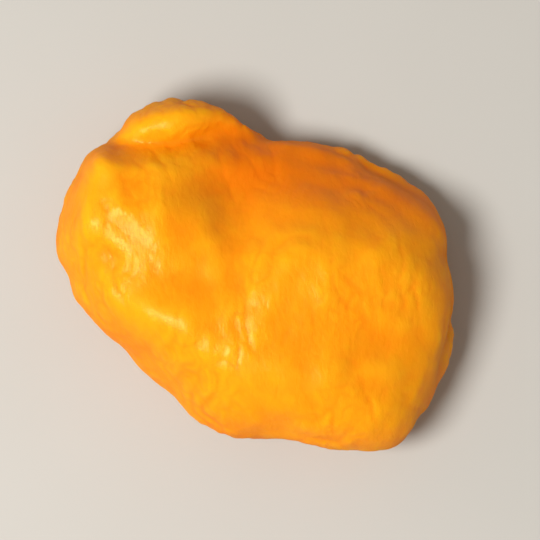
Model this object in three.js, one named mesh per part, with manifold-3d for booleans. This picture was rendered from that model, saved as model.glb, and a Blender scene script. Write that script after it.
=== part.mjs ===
// A soft whole dried apricot with its stone pushed out, lying on its flatter side.
//
// Millimetres, +Z up. +X runs along the fruit from its stem end, at -X, to its tip, at +X. +Y is the side
// along which the flesh folds in over the place that the stone left. The origin is on the surface that the
// fruit lies on, under the middle of its outline.
//
// The fruit is one closed skin. It starts as a plump flattened oval, is pressed and raised along named
// strokes, is gathered in folds and wrinkles, sags flat where it lies, and is then set to its real size.

import * as THREE from "three";
import { ImprovedNoise } from "three/addons/math/ImprovedNoise.js";
import { mergeVertices } from "three/addons/utils/BufferGeometryUtils.js";
import Module from "manifold-3d";

// The fruit's real size.
const LENGTH = 44;
const WIDTH = 33.5;
const THICKNESS = 15.3;

// The plump oval before it is pressed. The skin's widest line lies at height 0.
const HALF_LENGTH = LENGTH / 2;
const HALF_WIDTH = WIDTH / 2;
const CROWN = 8.8;
const BELLY = 7.7;
const PLUMPNESS = 2.2; // 2 is an ellipse, more has fuller shoulders

// The stem lobe is plumper than the rest: where it lies, in degrees from +X, how far it spreads to each
// side, and how much is added to the plumpness there.
const STEM_LOBE = { at: -163, spread: 26, plumper: 0.7 };

// Where the outline, seen from above, stands out of the oval or draws in: degrees from +X, and millimetres.
const SHOULDERS = [
  { at: -138, spread: 22, out: 1.4 },
  { at: -88, spread: 18, out: -1 },
  { at: -48, spread: 20, out: -1.9 },
  { at: -12, spread: 16, out: 1 },
  { at: 64, spread: 24, out: 2.2 },
  { at: 118, spread: 24, out: -3.4 },
];

// Strokes on the upper side and on the underside: a path seen from above, its half width, and how far it
// sinks in at its middle, or rises where that is less than nothing.
const UPPER_STROKES = [
  { name: "slope to the folded side", path: [[-8.6, 7.3], [-3.3, 12], [3.8, 17.2]], reach: 7.3, sink: 3.7 },
  { name: "stone hollow", path: [[-6.5, 9.5], [-1, 13]], reach: 3, sink: 1.2 },
  { name: "dimple where the lobes meet", path: [[-8.2, 4]], reach: 2.2, sink: 0.25 },
  { name: "lip beyond the fold", path: [[-19.5, 3], [-13.5, 10.5], [-10.5, 12.5]], reach: 2.1, sink: -1.4 },
  { name: "valley between the lobes", path: [[-6, 3.5], [-3, -3]], reach: 3.8, sink: 0.8 },
  { name: "stem lobe", path: [[-16, -5], [-12.5, -0.5]], reach: 4.6, sink: -0.3 },
  { name: "stem shoulder", path: [[-20.6, -2.4], [-19.8, -4.8], [-17, -8.8]], reach: 2.5, sink: -1.9 },
  { name: "crest of the tip lobe", path: [[3.4, 3.4], [7.8, 7.4], [10.2, 11.5]], reach: 3.4, sink: -0.4 },
  { name: "near crest", path: [[-9, -11.8], [-3.6, -10.9], [3, -9.9], [11, -7.5]], reach: 4, sink: -1.3 },
  { name: "flat of the tip lobe", path: [[9, 1], [14, 2]], reach: 5, sink: 0.5 },
];
const UNDER_STROKES = [
  { name: "sunk cheek", path: [[-8.6, 5.7], [5.7, 4.8]], reach: 5.7, sink: 1.7 },
  { name: "dent by the stem", path: [[-15.3, -3.8]], reach: 4.3, sink: 1.2 },
];

// Short folds of skin on the upper side: three that run down the valley, then those that stand on the near
// crest, on the stem lobe and on the tip lobe.
const SHORT_FOLDS = [
  { path: [[-5.6, -1.2], [-2.2, -4.4]], reach: 0.9, rise: 0.4 },
  { path: [[-1.1, 1], [0.9, -1.8]], reach: 0.9, rise: 0.35 },
  { path: [[1.8, 0.6], [3, -1.8]], reach: 0.9, rise: 0.25 },
  { path: [[-6, -11.4], [-2.6, -9.6]], reach: 2.5, rise: 0.8 },
  { path: [[-20.5, -1.5], [-14.9, -4.5]], reach: 1.2, rise: 0.55 },
  { path: [[-15.6, -7.6], [-13.4, -7.4]], reach: 1.3, rise: 0.45 },
  { path: [[-12.3, -2.3], [-10.7, -4.1]], reach: 0.9, rise: 0.5 },
  { path: [[-12.5, -11], [-9, -12.8]], reach: 1, rise: 0.4 },
  { path: [[1, 2.3], [2.5, 3.8]], reach: 1, rise: 0.4 },
  { path: [[5.4, 4.6], [6.9, 1.6]], reach: 1, rise: 0.35 },
  { path: [[8.3, 8.2], [8.8, 11.9]], reach: 1.1, rise: 0.5 },
  { path: [[12.6, -3.2]], reach: 1.2, rise: 0.45 },
  { path: [[15.2, -1], [16.8, 0.8]], reach: 1.2, rise: 0.5 },
];

// The fold where the stone was pushed out: a sharp crease with a soft lip on each side. The reach is how
// far the crease spreads from its path, and the lip is how high it stands.
const STONE_FOLD = {
  path: [[-20.3, 0.5], [-15.7, 4], [-12.9, 7.5], [-10.2, 9.6], [-9.4, 10.7]],
  reach: 1.1,
  sink: 2.1,
  lip: 0.45,
};

// More creases of that kind on the underside. They run in from the rim towards the flat, and die away at
// both ends.
const UNDER_CREASES = [
  { path: [[-18.5, -3.5], [-14.5, -5.6], [-10.4, -4.8]], reach: 0.9, sink: 1.5, lip: 0.5 },
  { path: [[-15, 8], [-10, 5.8], [-5.4, 6.6], [-1, 5.2]], reach: 1, sink: 1.6, lip: 0.5 },
  { path: [[15, 8.6], [10, 6.4], [4.4, 7.6]], reach: 0.9, sink: 1.4, lip: 0.45 },
  { path: [[18, -3.6], [13.8, -2.2], [10.6, -3.6]], reach: 0.8, sink: 1.2, lip: 0.4 },
  { path: [[5, -14.6], [7.4, -11.6], [11.4, -10.2]], reach: 0.8, sink: 1.2, lip: 0.4 },
  { path: [[-8.6, -14.4], [-11.4, -10.4], [-14.4, -9.6]], reach: 0.8, sink: 1.1, lip: 0.4 },
];

// The strokes and creases of both sides fade into each other within this height of the widest line. The
// upper side is never pressed in by more than the deepest drop, so that the skin doesn't cut itself at the
// rim. The ease is how gradually that limit sets in.
const FADE_HEIGHT = 6;
const DEEPEST_DROP = 4.8;
const DROP_EASE = 0.4;

// The suture is a groove round the folded side, which wavers up and down. The stem scar is a small pucker.
const SUTURE = { height: 0.4, reach: 1.5, sink: 0.75, waver: 1.5, waverSize: 8.6 };
const STEM_SCAR = { at: [-HALF_LENGTH, 0.5, 0.8], reach: 2.1, sink: 1.7 };

// Pleats fan out from the hollow and die away towards the rim. They wander a little from straight.
const PLEATS = {
  centre: [-5, 10],
  count: 27,
  start: 3.8,
  full: 8.6,
  end: 20,
  depth: 0.28,
  wander: 0.35,
  wanderSize: 6.7,
};

// Folds across the rim, as round a gathered cushion.
const RIM_FOLDS = { count: 13, reach: 1.5, tall: 5.7, depth: 1.05, slant: 0.4, seed: 41 };

// Slow swells over the whole skin.
const SWELL = { size: 12.4, height: 1.05 };

// Small puffed wrinkles. They run from the stem end to the tip, bend, come in patches and are lower on top.
const WRINKLE = {
  size: 3.25,
  stretch: 2.1,
  height: 1.1,
  onTop: 0.5,
  bend: 1.2,
  bendSize: 7.7,
  patchSize: 8.6,
};

// The underside sags to a level flat: how high that is before the fruit is set on the ground, how softly
// the flesh turns into it, and how much is cut off level to leave the flat that the fruit rests on.
const LAID_AT = -5.75;
const SAG = 0.8;
const GROUND_CUT = 0.2;

const FACES_PER_EDGE = 22; // the skin's fineness

const noise = new ImprovedNoise();
const { smoothstep, clamp, lerp, euclideanModulo, radToDeg } = THREE.MathUtils;

// Smooth noise that changes over about a size in millimetres. The offset picks another part of it.
function noiseOver(size, p, offset) {
  return noise.noise(p.x / size + offset, p.y / size, p.z / size + offset);
}

function bell(distance, reach) {
  return Math.exp(-((distance / reach) ** 2));
}

function degreesBetween(a, b) {
  return Math.abs(euclideanModulo(a - b + 180, 360) - 180);
}

function distanceToPath(x, y, path) {
  if (path.length === 1) return Math.hypot(x - path[0][0], y - path[0][1]);
  let nearest = Infinity;
  for (let i = 0; i + 1 < path.length; i++) {
    const [ax, ay] = path[i];
    const [bx, by] = path[i + 1];
    const along = ((x - ax) * (bx - ax) + (y - ay) * (by - ay)) / ((bx - ax) ** 2 + (by - ay) ** 2);
    const t = clamp(along, 0, 1);
    nearest = Math.min(nearest, Math.hypot(x - ax - t * (bx - ax), y - ay - t * (by - ay)));
  }
  return nearest;
}

function seededRandom(seed) {
  let state = seed;
  return () => {
    state = (1664525 * state + 1013904223) % 4294967296;
    return state / 4294967296;
  };
}

// A point of the plump oval, for a direction from its middle.
function plumpPoint(direction) {
  const level = Math.hypot(direction.x, direction.y);
  const degrees = radToDeg(Math.atan2(direction.y, direction.x));
  const atStemLobe = bell(degreesBetween(degrees, STEM_LOBE.at), STEM_LOBE.spread);
  const power = PLUMPNESS + STEM_LOBE.plumper * atStemLobe;
  const scale = 1 / (level ** power + Math.abs(direction.z) ** power) ** (1 / power);
  let out = 0;
  for (const s of SHOULDERS) out += s.out * bell(degreesBetween(degrees, s.at), s.spread);
  return new THREE.Vector3(
    direction.x * scale * (HALF_LENGTH + out * level),
    direction.y * scale * (HALF_WIDTH + out * level),
    direction.z * scale * (direction.z > 0 ? CROWN : BELLY),
  );
}

// The depth of a crease at a distance from its line: a sharp valley, with a lip on each side of it.
function creaseDepth(distance, { reach, sink, lip }) {
  return sink * Math.exp(-distance / reach) - lip * bell(distance - 2.6 * reach, reach);
}

// How much of a crease is left at a point: all of it halfway along its path, and less towards both ends.
function creaseFade(x, y, path) {
  const [ax, ay] = path[0];
  const [bx, by] = path[path.length - 1];
  const fromMiddle = Math.hypot(x - (ax + bx) / 2, y - (ay + by) / 2);
  return bell(fromMiddle, 0.55 * Math.hypot(bx - ax, by - ay));
}

function pressed(p) {
  let drop = creaseDepth(distanceToPath(p.x, p.y, STONE_FOLD.path), STONE_FOLD);
  for (const s of UPPER_STROKES) drop += s.sink * bell(distanceToPath(p.x, p.y, s.path), s.reach);
  for (const s of SHORT_FOLDS) drop -= s.rise * bell(distanceToPath(p.x, p.y, s.path), s.reach);
  drop -= DROP_EASE * Math.log1p(Math.exp((drop - DEEPEST_DROP) / DROP_EASE));
  let lift = 0;
  for (const s of UNDER_STROKES) lift += s.sink * bell(distanceToPath(p.x, p.y, s.path), s.reach);
  for (const c of UNDER_CREASES) {
    lift += creaseDepth(distanceToPath(p.x, p.y, c.path), c) * creaseFade(p.x, p.y, c.path);
  }
  const upper = smoothstep(p.z, -FADE_HEIGHT, FADE_HEIGHT);
  return new THREE.Vector3(p.x, p.y, p.z - drop * upper + lift * (1 - upper));
}

function pleatHeight(p) {
  const { centre, count, start, full, end, depth, wander, wanderSize } = PLEATS;
  const dx = p.x - centre[0];
  const dy = p.y - centre[1];
  const away = Math.hypot(dx, dy);
  const turn = Math.atan2(dy, dx) + wander * noiseOver(wanderSize, p, 3.1);
  const fade = smoothstep(away, start, full) * (1 - smoothstep(away, full, end)) * smoothstep(p.z, -2, 3);
  const uneven = 0.5 + 0.9 * noise.noise(3 * Math.cos(turn), 3 * Math.sin(turn), 7.7);
  return depth * fade * uneven * Math.sin(count * turn);
}

const rimFolds = (() => {
  const draw = seededRandom(RIM_FOLDS.seed);
  return Array.from({ length: RIM_FOLDS.count }, (_, i) => ({
    at: ((i + 0.7 * (draw() - 0.5)) * 2 * Math.PI) / RIM_FOLDS.count,
    depth: RIM_FOLDS.depth * (0.3 + 0.7 * draw()),
    slant: RIM_FOLDS.slant * (2 * draw() - 1),
    up: RIM_FOLDS.tall * (draw() - 0.5),
  }));
})();

function rimFoldDepth(p, outward) {
  const side = smoothstep(Math.hypot(outward.x, outward.y), 0.35, 0.85);
  const turn = Math.atan2(p.y / HALF_WIDTH, p.x / HALF_LENGTH);
  const round = Math.hypot(p.x, p.y);
  let depth = 0;
  for (const f of rimFolds) {
    const off = Math.atan2(Math.sin(turn - f.at), Math.cos(turn - f.at)) * round - f.slant * p.z;
    depth += f.depth * Math.exp(-Math.abs(off) / RIM_FOLDS.reach) * bell(p.z - f.up, RIM_FOLDS.tall);
  }
  return depth * side;
}

function sutureDepth(p, outward) {
  const height = SUTURE.height + SUTURE.waver * noise.noise(p.x / SUTURE.waverSize, 4.4, 0.6);
  const side = smoothstep(Math.hypot(outward.x, outward.y), 0.7, 0.95) * smoothstep(p.y, 0, 6);
  return SUTURE.sink * bell(p.z - height, SUTURE.reach) * side;
}

// Rounded ridges with sharp valleys between them.
function wrinkleHeight(p) {
  const { size, stretch, height, onTop, bend, bendSize, patchSize } = WRINKLE;
  const bent = bend * noiseOver(bendSize, p, 9.1);
  const puffed = Math.abs(noise.noise(p.x / (size * stretch) + bent, p.y / size + bent, p.z / size + 11.9));
  const patch = smoothstep(noiseOver(patchSize, p, 2.2), -0.25, 0.35);
  const lower = lerp(1, onTop, smoothstep(p.z, 0, 5));
  return height * lower * (0.3 + 0.7 * patch) * (Math.sqrt(puffed + 0.02) - 0.45);
}

function crumpled(p, outward) {
  const scar = STEM_SCAR.sink * bell(p.distanceTo(new THREE.Vector3(...STEM_SCAR.at)), STEM_SCAR.reach);
  const raised = SWELL.height * noiseOver(SWELL.size, p, 5.3) + wrinkleHeight(p) + pleatHeight(p);
  const sunk = rimFoldDepth(p, outward) + sutureDepth(p, outward) + scar;
  return p.clone().addScaledVector(outward, raised - sunk);
}

// Turns the lowest part of the underside flat, without a hard edge.
function sagged(p) {
  const above = (p.z - LAID_AT) / SAG;
  const softly = Math.log1p(Math.exp(-Math.abs(above))) + Math.max(above, 0);
  return new THREE.Vector3(p.x, p.y, LAID_AT + SAG * softly);
}

function skin() {
  const ball = new THREE.IcosahedronGeometry(1, FACES_PER_EDGE);
  ball.deleteAttribute("normal");
  ball.deleteAttribute("uv");
  const geometry = mergeVertices(ball);
  const place = geometry.getAttribute("position");
  const squares = new THREE.Vector3(HALF_LENGTH ** 2, HALF_WIDTH ** 2, CROWN ** 2);
  const direction = new THREE.Vector3();
  for (let i = 0; i < place.count; i++) {
    direction.fromBufferAttribute(place, i).normalize();
    const plump = plumpPoint(direction);
    const outward = plump.clone().divide(squares).normalize();
    const p = sagged(crumpled(pressed(plump), outward));
    place.setXYZ(i, p.x, p.y, p.z);
  }
  geometry.computeBoundingBox();
  const size = geometry.boundingBox.getSize(new THREE.Vector3());
  const middle = geometry.boundingBox.getCenter(new THREE.Vector3());
  geometry.translate(-middle.x, -middle.y, -geometry.boundingBox.min.z);
  geometry.scale(LENGTH / size.x, WIDTH / size.y, THICKNESS / size.z);
  return geometry;
}

async function withFlat(geometry) {
  const wasm = await Module();
  wasm.setup();
  const solidOf = (g) =>
    new wasm.Manifold(
      new wasm.Mesh({
        numProp: 3,
        vertProperties: new Float32Array(g.getAttribute("position").array),
        triVerts: new Uint32Array(g.index.array),
      }),
    );
  const slab = new THREE.BoxGeometry(2 * LENGTH, 2 * WIDTH, THICKNESS);
  slab.translate(0, 0, GROUND_CUT - THICKNESS / 2);
  slab.deleteAttribute("normal");
  slab.deleteAttribute("uv");
  const mesh = solidOf(geometry).subtract(solidOf(mergeVertices(slab))).getMesh();
  const cut = new THREE.BufferGeometry();
  cut.setAttribute("position", new THREE.BufferAttribute(new Float32Array(mesh.vertProperties), 3));
  cut.setIndex(new THREE.BufferAttribute(new Uint32Array(mesh.triVerts), 1));
  cut.translate(0, 0, -GROUND_CUT);
  cut.scale(1, 1, THICKNESS / (THICKNESS - GROUND_CUT));
  cut.computeVertexNormals();
  return cut;
}

const flesh = new THREE.MeshStandardMaterial({ color: 0xf7a326, roughness: 0.42, metalness: 0 });
const apricot = new THREE.Mesh(await withFlat(skin()), flesh);
apricot.name = "dried_apricot";

const part = new THREE.Group();
part.add(apricot);
export default part;
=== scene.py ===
import math

import bmesh
import bpy
from bpy.props import FloatProperty, FloatVectorProperty, IntProperty, PointerProperty
from mathutils import Matrix, Vector


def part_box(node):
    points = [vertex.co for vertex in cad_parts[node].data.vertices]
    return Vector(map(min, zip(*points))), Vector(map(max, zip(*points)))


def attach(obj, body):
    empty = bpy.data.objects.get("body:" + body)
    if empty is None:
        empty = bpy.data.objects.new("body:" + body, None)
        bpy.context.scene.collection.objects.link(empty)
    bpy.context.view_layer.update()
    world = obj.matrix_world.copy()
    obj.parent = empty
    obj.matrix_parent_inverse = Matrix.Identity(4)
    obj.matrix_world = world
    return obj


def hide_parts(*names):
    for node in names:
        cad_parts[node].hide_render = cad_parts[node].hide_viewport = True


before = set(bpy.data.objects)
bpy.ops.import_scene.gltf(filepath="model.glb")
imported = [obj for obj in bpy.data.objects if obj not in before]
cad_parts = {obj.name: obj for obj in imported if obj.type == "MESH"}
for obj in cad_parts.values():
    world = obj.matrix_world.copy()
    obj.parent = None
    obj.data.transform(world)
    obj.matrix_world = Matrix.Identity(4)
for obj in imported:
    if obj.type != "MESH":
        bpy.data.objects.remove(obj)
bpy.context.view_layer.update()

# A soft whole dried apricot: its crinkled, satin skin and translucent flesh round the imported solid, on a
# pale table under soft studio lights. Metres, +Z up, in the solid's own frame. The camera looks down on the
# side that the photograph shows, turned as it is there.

bl_info = {
    "name": "Dried apricot",
    "version": (1, 0, 0),
    "blender": (4, 5, 0),
    "location": "View3D > Sidebar > Dried apricot",
    "description": "Builds the skin of a dried apricot round its solid, with its table, light and camera",
    "category": "Object",
}

NODE = "dried_apricot"
MM = 0.001
NOISE_MIDDLE = 0.5

# The stem scar, and the line of the hollow along the folded side as it is seen from above.
STEM_END = (-0.0207, 0.0001, 0.0068)
FOLDED_SIDE = ((-0.0085, 0.0085, 0.0), (-0.0010, 0.0140, 0.0), (0.0065, 0.0180, 0.0))

# How the solid's faces become a smooth and even skin.
JOINING_DISTANCE = 1e-7
ROUNDING_LEVELS = 2
SOFTENING_ROUNDS = 4
SPLITTING_LEVELS = 1

# Wrinkles run this way, turned from +X towards +Y, and are so many times longer than they are wide.
WRINKLES_RUN = math.radians(130)
WRINKLE_STRETCH = 2.6
CRINKLE_STRETCH = 2.2
GRAIN_STRETCH = 2.0

# A puff is noise folded at its middle value, so that sharp creases divide rounded swellings. Wider noise
# makes the puffs drift, by so many times their size.
PUFF_GAIN = 5
PUFF_FLOOR = 0.02
PUFF_POWER = 0.75
DRIFT_FINENESS = 0.4
DRIFT_REACH = 2.4

# Added to the seed, so that each noise is another one.
PUFF_SEED = 4.7
CRINKLE_SEED = 7.3
PATCH_SEED = 2.1

# Limits are where a mask is 0 and where it is 1. The relief is lower in calm patches, higher on the flanks,
# and fades out towards the flat. LOWEST keeps the skin above the flat, and lies far outside it sideways.
PATCH_SIZE = 7 * MM
PATCH_LIMITS = (0.35, 0.65)
CALM_RELIEF = 0.25
TOP_RELIEF = 0.9
FLANK_RELIEF = 1.65
FLAT_LIMITS = (0.1 * MM, 1.6 * MM)
LOWEST = (-1.0, -1.0, 0.0)

# Masks that the skin carries for its material: crests, hollows, the folded side and the flanks. More rounds
# average a wider patch of skin.
CREST_ROUNDS = 10
HOLLOW_ROUNDS = 220
FOLD_LIMITS = (1.5 * MM, 9 * MM)
FOLD_HEIGHTS = (2 * MM, 6 * MM)
FLANK_LIMITS = (0.15, 0.9)

# A share is how much of a colour is mixed in where its mask is 1. The flesh colour has no mask.
# Painted highlight and shade: crests get the pale colour and creases the darker one, which is also painted
# shade in hollows, on the flanks (more in random patches) and along the folded side.
CREST_LIMITS = (-0.06 * MM, 0.08 * MM)
FLESH_SHARE = 0.6
HOLLOW_LIMITS = (-0.9 * MM, 0.4 * MM)
HOLLOW_SHADE_SHARE = 0.4
MOTTLE_SIZE = 3.2 * MM
MOTTLE_LIMITS = (0.35, 0.75)
MOTTLE_SHARE = 0.3
FLANK_PATCH_SIZE = 6 * MM
FLANK_PATCH_LIMITS = (0.3, 0.7)
FLANK_LEAST_SHADE = 0.4
FLANK_MOST_SHADE = 0.9
FOLD_SHADE_SHARE = 0.8
SCAR_LIMITS = (0.9 * MM, 2.1 * MM)
SCAR_EDGE_SIZE = 0.9 * MM
SCAR_EDGE_DRIFT = 1.6 * MM

# Gloss, which is yellower than the light, and less on the flanks.
GLOSS_PATCH_SIZE = 1.5 * MM
ROUGHNESS_SPREAD = 0.24
FLANK_ROUGHNESS = 0.1
SHINE = 0.38
SHINE_TINT = (1.0, 0.72, 0.3, 1.0)
FLANK_MATT_SHARE = 0.6

# Grain, which is bump alone: fine creases, and small cells with sunken rims.
GRAIN_CREASE_SIZE = 0.8 * MM
GRAIN_CREASE_LIMIT = 0.2
GRAIN_CREASE_GAIN = 4
GRAIN_CELL_SIZE = 0.5 * MM
GRAIN_CELL_SMOOTHNESS = 0.6
GRAIN_CELL_GAIN = 0.3
GRAIN_STRENGTH = 0.8
GRAIN_DEPTH = 0.03 * MM

# Flesh, and how far red, green and blue light travel in it before they come out.
FLESH_IOR = 1.45
GLOW_SHARE = 0.8
GLOW_RADIUS = (1.0, 0.3, 0.05)
GLOW_DEPTH = 1.4 * MM

# A lamp's place is its distance from the fruit's middle to the picture's right, to its top and straight up.
KEY_PLACE = (-0.18, -0.09, 0.37)
KEY_WIDTH = 0.18
SIDE_PLACE = (-0.33, 0.08, 0.12)
SIDE_WIDTH = 0.10
DAYLIGHT_COLOUR = (1.0, 0.955, 0.88, 1.0)
WHITE = (1.0, 1.0, 1.0, 1.0)
TABLE_PATCH_SIZE = 20 * MM
TABLE_PATCH_SHARE = 0.04
TABLE_ROUGHNESS = 0.7
STRAIGHT_UP = Vector((0, 0, 1))


# Node trees

class Wire:
    """A socket of a node tree. Arithmetic on it adds Math nodes."""

    def __init__(self, tree, socket):
        self.tree = tree
        self.socket = socket

    def maths(self, operation, *values):
        return self.tree.add("ShaderNodeMath", {"operation": operation}, dict(enumerate(values)))

    def __add__(self, other):
        return self.maths("ADD", self, other)

    def __sub__(self, other):
        return self.maths("SUBTRACT", self, other)

    def __rsub__(self, other):
        return self.maths("SUBTRACT", other, self)

    def __mul__(self, other):
        return self.maths("MULTIPLY", self, other)

    def __truediv__(self, other):
        return self.maths("DIVIDE", self, other)

    def __rtruediv__(self, other):
        return self.maths("DIVIDE", other, self)

    def __pow__(self, other):
        return self.maths("POWER", self, other)

    def __abs__(self):
        return self.maths("ABSOLUTE", self)

    __radd__ = __add__
    __rmul__ = __mul__

    def at_least(self, other):
        return self.maths("MAXIMUM", self, other)

    def at_most(self, other):
        return self.maths("MINIMUM", self, other)

    def eased(self, low, high):
        """Runs smoothly from 0 at low to 1 at high."""
        settings = {"interpolation_type": "SMOOTHSTEP"}
        inputs = {"Value": self, "From Min": low, "From Max": high}
        return self.tree.add("ShaderNodeMapRange", settings, inputs)


class NodeTree:
    """Adds nodes to a Blender node tree and links them."""

    def __init__(self, tree):
        self.nodes = tree.nodes
        self.links = tree.links

    def add(self, kind, settings=None, inputs=None, out=0):
        """A node of one kind: its settings first, then the values or links of its input sockets."""
        node = self.nodes.new(kind)
        for name, value in (settings or {}).items():
            setattr(node, name, value)
        for key, value in (inputs or {}).items():
            self.feed(node.inputs[key], value)
        return self.output(node, out)

    def output(self, node, out):
        """One output of a node: by its name, or by its number among those in use."""
        shown = [s for s in node.outputs if s.enabled]
        if isinstance(out, int):
            return Wire(self, shown[out]) if shown else None
        return Wire(self, next(s for s in shown if s.name == out))

    def feed(self, socket, value):
        """Links a wire to an input socket, or sets the socket to a plain value."""
        if isinstance(value, Wire):
            self.links.new(value.socket, socket)
        else:
            socket.default_value = value

    def vectors(self, operation, *values, scale=None, out=0):
        inputs = dict(enumerate(values))
        if scale is not None:
            inputs["Scale"] = scale
        return self.add("ShaderNodeVectorMath", {"operation": operation}, inputs, out)

    def blend(self, share, a, b):
        """Colour a where share is 0, and b where it is 1. The node takes them at inputs 0, 6 and 7."""
        return self.add("ShaderNodeMix", {"data_type": "RGBA"}, {0: share, 6: a, 7: b})

    def noise(self, where, size, detail=0.0, seed=0.0):
        """Smooth noise from about 0 to 1, with lumps of a size in metres."""
        settings = {"noise_dimensions": "4D"}
        inputs = {"Vector": where, "W": seed, "Scale": 1 / size, "Detail": detail}
        return self.add("ShaderNodeTexNoise", settings, inputs)

    def mask(self, name):
        """A value that the skin carries at each point, in its material."""
        return self.add("ShaderNodeAttribute", {"attribute_name": name}, out="Fac")


# Settings

class SkinSettings(bpy.types.PropertyGroup):
    """Sizes and colours of the fruit's skin."""

    mesh_size: FloatProperty(
        name="Mesh size", description="Size of the skin's faces before they are split once",
        default=0.45 * MM, unit="LENGTH")
    wrinkle_size: FloatProperty(
        name="Wrinkle size", description="Width of a puffed wrinkle",
        default=2.4 * MM, unit="LENGTH")
    wrinkle_depth: FloatProperty(
        name="Wrinkle depth", description="Depth of the creases between wrinkles",
        default=0.15 * MM, unit="LENGTH")
    crinkle_size: FloatProperty(
        name="Crinkle size", description="Width of the fine crinkles on the wrinkles",
        default=0.9 * MM, unit="LENGTH")
    crinkle_depth: FloatProperty(
        name="Crinkle depth", description="Depth of the fine crinkles",
        default=0.055 * MM, unit="LENGTH")
    seed: IntProperty(
        name="Seed", description="Picks another set of wrinkles", default=3)
    flesh: FloatVectorProperty(
        name="Flesh", description="Colour of the skin where it is smooth",
        default=(0.95, 0.355, 0.004), size=3, subtype="COLOR")
    # Pale colour: a painted highlight on the wrinkles' crests, and the tone of the random mottles.
    crest: FloatVectorProperty(
        name="Crest", description="Colour of the crests of the wrinkles",
        default=(0.98, 0.455, 0.009), size=3, subtype="COLOR")
    # Painted shade: the darker colour mixed into creases, hollows, the flanks and along the folded side.
    painted_shade: FloatVectorProperty(
        name="Deep", description="Colour in creases, on the flanks and along the folded side",
        default=(0.84, 0.17, 0.001), size=3, subtype="COLOR")
    scar: FloatVectorProperty(
        name="Scar", description="Colour of the stem scar",
        default=(0.42, 0.12, 0.008), size=3, subtype="COLOR")
    roughness: FloatProperty(
        name="Roughness", description="Roughness of the satin skin",
        default=0.34, min=0.0, max=1.0, subtype="FACTOR")


class StageSettings(bpy.types.PropertyGroup):
    """Sizes, colours and strengths of the table, the lights and the camera."""

    table_size: FloatProperty(
        name="Table size", description="Width of the square table", default=3.0, unit="LENGTH")
    table_colour: FloatVectorProperty(
        name="Table colour", description="Colour of the pale table",
        default=(0.50, 0.475, 0.43), size=3, subtype="COLOR")
    key_power: FloatProperty(
        name="Key light", description="Power of the large soft light near the camera",
        default=2.0, unit="POWER")
    side_power: FloatProperty(
        name="Side light", description="Power of the lower light from the picture's left",
        default=0.03, unit="POWER")
    daylight: FloatProperty(
        name="Daylight", description="Strength of the even light from all round", default=0.32)
    turn: FloatProperty(
        name="View turn", description="How far the camera is turned round the fruit",
        default=math.radians(40), subtype="ANGLE")
    height: FloatProperty(
        name="View height", description="How steeply the camera looks down",
        default=math.radians(86), subtype="ANGLE")
    distance: FloatProperty(
        name="View distance", description="From the middle of the fruit to the camera",
        default=0.42, unit="LENGTH")
    frame_width: FloatProperty(
        name="Framed width", description="Width that the picture takes in at the fruit",
        default=0.056, unit="LENGTH")


# Skin

def relief_group():
    """Geometry nodes that raise the skin's wrinkles and note the masks that its material reads."""
    group = bpy.data.node_groups.new("Skin relief", "GeometryNodeTree")
    named = (
        ("Geometry", "NodeSocketGeometry"),
        ("Wrinkle size", "NodeSocketFloat"),
        ("Wrinkle depth", "NodeSocketFloat"),
        ("Crinkle size", "NodeSocketFloat"),
        ("Crinkle depth", "NodeSocketFloat"),
        ("Seed", "NodeSocketInt"),
        ("Material", "NodeSocketMaterial"),
    )
    for name, kind in named:
        group.interface.new_socket(name, in_out="INPUT", socket_type=kind)
    group.interface.new_socket("Geometry", in_out="OUTPUT", socket_type="NodeSocketGeometry")
    tree = NodeTree(group)
    entry = tree.nodes.new("NodeGroupInput")
    given = {name: Wire(tree, entry.outputs[name]) for name, kind in named}

    place = tree.add("GeometryNodeInputPosition")
    normal = tree.add("GeometryNodeInputNormal")
    facing_up = abs(tree.add("ShaderNodeSeparateXYZ", {}, {0: normal}, out="Z"))
    height = tree.add("ShaderNodeSeparateXYZ", {}, {0: place}, out="Z")
    relief = wrinkle_relief(tree, place, given) * relief_share(tree, place, given, facing_up, height)
    raised = tree.vectors("ADD", place, tree.vectors("SCALE", normal, scale=relief))
    raised = tree.vectors("MAXIMUM", raised, LOWEST)
    skin = tree.add("GeometryNodeSetPosition", {}, {"Geometry": given["Geometry"], "Position": raised})

    skin = noted(tree, skin, "crest", standing_out(tree, CREST_ROUNDS))
    skin = noted(tree, skin, "hollow", standing_out(tree, HOLLOW_ROUNDS))
    # Painted shade along the folded side: strongest near its line and high on the fruit.
    a, b, c = FOLDED_SIDE
    away = from_line(tree, place, a, b).at_most(from_line(tree, place, b, c))
    folded_side_shade = (1 - away.eased(*FOLD_LIMITS)) * height.eased(*FOLD_HEIGHTS)
    skin = noted(tree, skin, "folded_side_shade", folded_side_shade)
    skin = noted(tree, skin, "flank", 1 - facing_up.eased(*FLANK_LIMITS))
    skin = tree.add("GeometryNodeSetShadeSmooth", {}, {"Geometry": skin})
    skin = tree.add("GeometryNodeRealizeInstances", {}, {"Geometry": skin})
    skin = tree.add("GeometryNodeSetMaterial", {}, {"Geometry": skin, "Material": given["Material"]})
    tree.add("NodeGroupOutput", {}, {"Geometry": skin})
    return group


def wrinkle_relief(tree, place, given):
    """How far wrinkles and crinkles raise a point, in metres."""
    seed = given["Seed"]
    wrinkles = puffs(tree, place, given["Wrinkle size"], seed, WRINKLE_STRETCH)
    crinkles = puffs(tree, place, given["Crinkle size"], seed + CRINKLE_SEED, CRINKLE_STRETCH)
    return wrinkles * given["Wrinkle depth"] + crinkles * given["Crinkle depth"]


def relief_share(tree, place, given, facing_up, height):
    """How much of the relief shows at a point."""
    patches = tree.noise(place, PATCH_SIZE, seed=given["Seed"] + PATCH_SEED).eased(*PATCH_LIMITS)
    patches = patches * (1 - CALM_RELIEF) + CALM_RELIEF
    steepness = FLANK_RELIEF - facing_up * (FLANK_RELIEF - TOP_RELIEF)
    return patches * steepness * height.eased(*FLAT_LIMITS)


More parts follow.
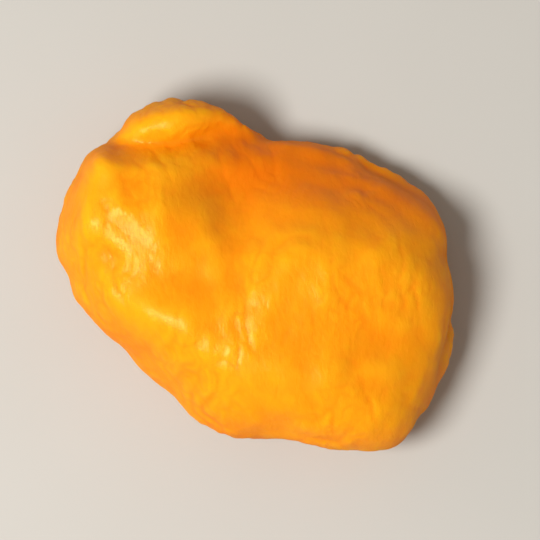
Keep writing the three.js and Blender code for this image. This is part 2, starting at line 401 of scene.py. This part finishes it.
def puffs(tree, place, size, seed, stretch):
    """Rounded wrinkles with sharp creases between them, 0 at a crease and 1 at the highest crest."""
    fineness = 1 / size
    inputs = {"Vector": place, "W": seed, "Scale": fineness * DRIFT_FINENESS, "Detail": 1.0}
    drift = tree.add("ShaderNodeTexNoise", {"noise_dimensions": "4D"}, inputs, out="Color")
    drift = tree.vectors("SUBTRACT", drift, (NOISE_MIDDLE, NOISE_MIDDLE, NOISE_MIDDLE))
    bent = tree.vectors("ADD", place, tree.vectors("SCALE", drift, scale=size * DRIFT_REACH))
    bent = along_wrinkles(tree, bent, stretch)
    inputs = {"Vector": bent, "W": seed + PUFF_SEED, "Scale": fineness, "Detail": 0.0}
    lumps = tree.add("ShaderNodeTexNoise", {"noise_dimensions": "4D"}, inputs)
    return (abs(lumps - NOISE_MIDDLE) * PUFF_GAIN + PUFF_FLOOR) ** PUFF_POWER


def along_wrinkles(tree, place, stretch):
    """A place in a space where what is drawn comes out longer along the wrinkles."""
    inputs = {"Vector": place, "Axis": STRAIGHT_UP, "Angle": -WRINKLES_RUN}
    turned = tree.add("ShaderNodeVectorRotate", {"rotation_type": "AXIS_ANGLE"}, inputs)
    return tree.vectors("MULTIPLY", turned, (1 / stretch, 1.0, 1 / math.sqrt(stretch)))


def from_line(tree, place, start, end):
    """How far a point lies, seen from above, from the straight line between two others."""
    along = Vector(end) - Vector(start)
    offset = tree.vectors("MULTIPLY", tree.vectors("SUBTRACT", place, start), (1.0, 1.0, 0.0))
    share = tree.vectors("DOT_PRODUCT", offset, along, out="Value") / along.length_squared
    share = share.at_least(0.0).at_most(1.0)
    return tree.vectors("DISTANCE", offset, tree.vectors("SCALE", along, scale=share), out="Value")


def standing_out(tree, rounds):
    """How far a point stands out of the skin round it, in metres."""
    place = tree.add("GeometryNodeInputPosition")
    normal = tree.add("GeometryNodeInputNormal")
    inputs = {"Value": place, "Iterations": rounds}
    averaged = tree.add("GeometryNodeBlurAttribute", {"data_type": "FLOAT_VECTOR"}, inputs)
    return tree.vectors("DOT_PRODUCT", tree.vectors("SUBTRACT", place, averaged), normal, out="Value")


def noted(tree, geometry, name, value):
    """Stores a value at each point under a name that the material reads."""
    settings = {"data_type": "FLOAT", "domain": "POINT"}
    inputs = {"Geometry": geometry, "Name": name, "Value": value}
    return tree.add("GeometryNodeStoreNamedAttribute", settings, inputs)


def new_material(name):
    """A material without nodes, its node tree, and the place in it of the point that is shaded."""
    material = bpy.data.materials.new(name)
    material.use_nodes = True
    tree = NodeTree(material.node_tree)
    tree.nodes.clear()
    return material, tree, tree.add("ShaderNodeTexCoord", out="Object")


def skin_material(settings):
    """Satin, translucent orange skin, with painted shade in its creases and in the hollow."""
    material, tree, where = new_material("Apricot skin")
    flank = tree.mask("flank")
    colour = skin_colour(tree, where, flank, settings)
    rough = tree.noise(where, GLOSS_PATCH_SIZE, detail=4.0) * ROUGHNESS_SPREAD
    rough = rough + (settings.roughness - ROUGHNESS_SPREAD / 2) + flank * FLANK_ROUGHNESS
    bump = skin_grain(tree, where)
    satin = flesh_shader(tree, colour, rough, bump, SHINE)
    matt = flesh_shader(tree, colour, rough, bump, 0.0)
    # Steep skin would mirror the pale table along the fruit's outline.
    shader = tree.add("ShaderNodeMixShader", {}, {"Fac": flank * FLANK_MATT_SHARE, 1: satin, 2: matt})
    tree.add("ShaderNodeOutputMaterial", {}, {"Surface": shader})
    return material


def skin_colour(tree, where, flank, settings):
    """Painted highlight on crests, painted shade in creases, hollows and flanks; pale mottles; dull stem
    scar.
    """
    flesh, pale, painted_shade = ((*colour, 1) for colour in (settings.flesh, settings.crest, settings.painted_shade))
    # Painted highlight on crests and painted shade in creases, mixed with the flesh colour.
    raised = tree.mask("crest").eased(*CREST_LIMITS)
    sunk = 1 - tree.mask("hollow").eased(*HOLLOW_LIMITS)
    colour = tree.blend(raised, painted_shade, pale)
    colour = tree.blend(FLESH_SHARE, colour, flesh)
    # Painted shade in hollows.
    colour = tree.blend(sunk * HOLLOW_SHADE_SHARE, colour, painted_shade)
    mottle = tree.noise(where, MOTTLE_SIZE, detail=3.0).eased(*MOTTLE_LIMITS)
    colour = tree.blend(mottle * MOTTLE_SHARE, colour, pale)
    # Painted shade on the flanks, stronger in random patches.
    patches = tree.noise(where, FLANK_PATCH_SIZE, detail=3.0).eased(*FLANK_PATCH_LIMITS)
    patches = patches * (FLANK_MOST_SHADE - FLANK_LEAST_SHADE) + FLANK_LEAST_SHADE
    colour = tree.blend(flank * patches, colour, painted_shade)
    # Painted shade along the folded side.
    colour = tree.blend(tree.mask("folded_side_shade") * FOLD_SHADE_SHARE, colour, painted_shade)
    ragged = tree.noise(where, SCAR_EDGE_SIZE, detail=2.0) * SCAR_EDGE_DRIFT
    from_scar = tree.vectors("DISTANCE", where, STEM_END, out="Value") + ragged
    return tree.blend(1 - from_scar.eased(*SCAR_LIMITS), colour, (*settings.scar, 1))


def skin_grain(tree, where):
    """Bump from the finest creases and cells of the skin."""
    drawn = along_wrinkles(tree, where, GRAIN_STRETCH)
    inputs = {"Vector": drawn, "Scale": 1 / GRAIN_CREASE_SIZE, "Detail": 3.0}
    creases = abs(tree.add("ShaderNodeTexNoise", {}, inputs) - NOISE_MIDDLE)
    inputs = {"Vector": where, "Scale": 1 / GRAIN_CELL_SIZE, "Smoothness": GRAIN_CELL_SMOOTHNESS}
    cells = tree.add("ShaderNodeTexVoronoi", {"feature": "SMOOTH_F1"}, inputs, out="Distance")
    grain = creases.at_most(GRAIN_CREASE_LIMIT) * GRAIN_CREASE_GAIN - cells * GRAIN_CELL_GAIN
    inputs = {"Strength": GRAIN_STRENGTH, "Distance": GRAIN_DEPTH, "Height": grain}
    return tree.add("ShaderNodeBump", {}, inputs)


def flesh_shader(tree, colour, rough, bump, shine):
    """Translucent flesh under a skin that reflects more light where its shine is higher."""
    inputs = {
        "Base Color": colour, "Roughness": rough, "Normal": bump, "IOR": FLESH_IOR,
        "Specular IOR Level": shine, "Specular Tint": SHINE_TINT, "Subsurface Weight": GLOW_SHARE,
        "Subsurface Radius": GLOW_RADIUS, "Subsurface Scale": GLOW_DEPTH,
    }
    return tree.add("ShaderNodeBsdfPrincipled", {"subsurface_method": "RANDOM_WALK"}, inputs)


def merged_copy(node, name):
    """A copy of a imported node, with its loose triangles joined."""
    shape = bmesh.new()
    shape.from_mesh(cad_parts[node].data)
    bmesh.ops.remove_doubles(shape, verts=shape.verts, dist=JOINING_DISTANCE)
    mesh = bpy.data.meshes.new(name)
    shape.to_mesh(mesh)
    shape.free()
    piece = bpy.data.objects.new(name, mesh)
    bpy.context.scene.collection.objects.link(piece)
    return piece


def made_plain(piece):
    """Turns an object's modifiers into its plain mesh."""
    depsgraph = bpy.context.evaluated_depsgraph_get()
    mesh = bpy.data.meshes.new_from_object(piece.evaluated_get(depsgraph))
    piece.modifiers.clear()
    piece.data = mesh


class OBJECT_OT_dried_apricot_skin(bpy.types.Operator):
    """Builds the fruit's crinkled skin round its solid"""

    bl_idname = "object.dried_apricot_skin"
    bl_label = "Skin"

    def execute(self, context):
        settings = context.scene.dried_apricot_skin
        piece = merged_copy(NODE, "apricot_skin")
        rounded = piece.modifiers.new("Rounded", "SUBSURF")
        rounded.levels = rounded.render_levels = ROUNDING_LEVELS
        even = piece.modifiers.new("Even faces", "REMESH")
        even.mode = "VOXEL"
        even.voxel_size = settings.mesh_size
        soft = piece.modifiers.new("Softened", "SMOOTH")
        soft.iterations = SOFTENING_ROUNDS
        fine = piece.modifiers.new("Fine faces", "SUBSURF")
        fine.levels = fine.render_levels = SPLITTING_LEVELS
        relief = piece.modifiers.new("Relief", "NODES")
        relief.node_group = relief_group()
        values = {
            "Wrinkle size": settings.wrinkle_size,
            "Wrinkle depth": settings.wrinkle_depth,
            "Crinkle size": settings.crinkle_size,
            "Crinkle depth": settings.crinkle_depth,
            "Seed": settings.seed,
            "Material": skin_material(settings),
        }
        for socket in relief.node_group.interface.items_tree:
            if socket.in_out == "INPUT" and socket.name in values:
                relief[socket.identifier] = values[socket.name]
        made_plain(piece)
        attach(piece, "root")
        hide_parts(NODE)
        return {"FINISHED"}


# Stage

def table_material(colour):
    """Matt pale stone with a faint unevenness."""
    material, tree, where = new_material("Pale table")
    patches = tree.noise(where, TABLE_PATCH_SIZE, detail=2.0) * TABLE_PATCH_SHARE
    shade = tree.blend(patches, (*colour, 1), WHITE)
    inputs = {"Base Color": shade, "Roughness": TABLE_ROUGHNESS}
    shader = tree.add("ShaderNodeBsdfPrincipled", {}, inputs)
    tree.add("ShaderNodeOutputMaterial", {}, {"Surface": shader})
    return material


def square_table(settings):
    """A square level sheet under the fruit."""
    half = settings.table_size / 2
    corners = [(-half, -half, 0), (half, -half, 0), (half, half, 0), (-half, half, 0)]
    mesh = bpy.data.meshes.new("table")
    mesh.from_pydata(corners, [], [(0, 1, 2, 3)])
    mesh.materials.append(table_material(settings.table_colour))
    table = bpy.data.objects.new("table", mesh)
    bpy.context.scene.collection.objects.link(table)
    return table


def picture_axes(settings):
    """The directions to the picture's right, to its top and back to the camera."""
    turn, height = settings.turn, settings.height
    right = Vector((math.cos(turn), math.sin(turn), 0))
    level = math.cos(height)
    back = Vector((math.sin(turn) * level, -math.cos(turn) * level, math.sin(height)))
    return right, back.cross(right), back


def looking(place, right, up, back):
    """Where a camera or lamp stands, and how it is turned."""
    return Matrix.Translation(place) @ Matrix((right, up, back)).transposed().to_4x4()


def soft_light(name, power, width, place, target):
    """A round soft lamp that points at a target."""
    light = bpy.data.lights.new(name, "AREA")
    light.energy = power
    light.shape = "DISK"
    light.size = width
    lamp = bpy.data.objects.new(name, light)
    back = (place - target).normalized()
    right = STRAIGHT_UP.cross(back).normalized()
    lamp.matrix_world = looking(place, right, back.cross(right), back)
    bpy.context.scene.collection.objects.link(lamp)


def even_daylight(strength):
    """Warm light that is the same from all round."""
    world = bpy.data.worlds.new("Daylight")
    world.use_nodes = True
    background = world.node_tree.nodes["Background"]
    background.inputs["Color"].default_value = DAYLIGHT_COLOUR
    background.inputs["Strength"].default_value = strength
    return world


def camera_at(place, right, up, back, settings):
    """A camera that frames the fruit from a place."""
    lens = bpy.data.cameras.new("Camera")
    lens.sensor_fit = "HORIZONTAL"
    lens.angle_x = 2 * math.atan(settings.frame_width / 2 / settings.distance)
    camera = bpy.data.objects.new("Camera", lens)
    camera.matrix_world = looking(place, right, up, back)
    bpy.context.scene.collection.objects.link(camera)
    return camera


class OBJECT_OT_dried_apricot_stage(bpy.types.Operator):
    """Builds the pale table, the soft lights and the camera"""

    bl_idname = "object.dried_apricot_stage"
    bl_label = "Stage"

    def execute(self, context):
        scene = context.scene
        settings = scene.dried_apricot_stage
        low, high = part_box(NODE)
        middle = (low + high) / 2
        right, up, back = picture_axes(settings)

        table = square_table(settings)

        lamps = (
            ("Key light", settings.key_power, KEY_WIDTH, KEY_PLACE),
            ("Side light", settings.side_power, SIDE_WIDTH, SIDE_PLACE),
        )
        for name, power, width, (rightwards, upwards, raised) in lamps:
            place = middle + right * rightwards + up * upwards + STRAIGHT_UP * raised
            soft_light(name, power, width, place, middle)
        scene.world = even_daylight(settings.daylight)
        scene.view_settings.view_transform = "Standard"
        scene.camera = camera_at(middle + back * settings.distance, right, up, back, settings)
        return {"FINISHED"}


class VIEW3D_PT_dried_apricot(bpy.types.Panel):
    """Lists the fruit's settings and what builds it"""

    bl_label = "Dried apricot"
    bl_idname = "VIEW3D_PT_dried_apricot"
    bl_space_type = "VIEW_3D"
    bl_region_type = "UI"
    bl_category = "Dried apricot"

    def draw(self, context):
        scene = context.scene
        built_by = (
            (scene.dried_apricot_skin, OBJECT_OT_dried_apricot_skin),
            (scene.dried_apricot_stage, OBJECT_OT_dried_apricot_stage),
        )
        for settings, operator in built_by:
            column = self.layout.column()
            for name in settings.__annotations__:
                column.prop(settings, name)
            column.operator(operator.bl_idname)


CLASSES = (
    SkinSettings,
    StageSettings,
    OBJECT_OT_dried_apricot_skin,
    OBJECT_OT_dried_apricot_stage,
    VIEW3D_PT_dried_apricot,
)


def register():
    for cls in CLASSES:
        bpy.utils.register_class(cls)
    bpy.types.Scene.dried_apricot_skin = PointerProperty(type=SkinSettings)
    bpy.types.Scene.dried_apricot_stage = PointerProperty(type=StageSettings)


def unregister():
    del bpy.types.Scene.dried_apricot_stage
    del bpy.types.Scene.dried_apricot_skin
    for cls in reversed(CLASSES):
        bpy.utils.unregister_class(cls)


def main():
    register()
    bpy.ops.object.dried_apricot_skin()
    bpy.ops.object.dried_apricot_stage()


if __name__ == "__main__":
    main()
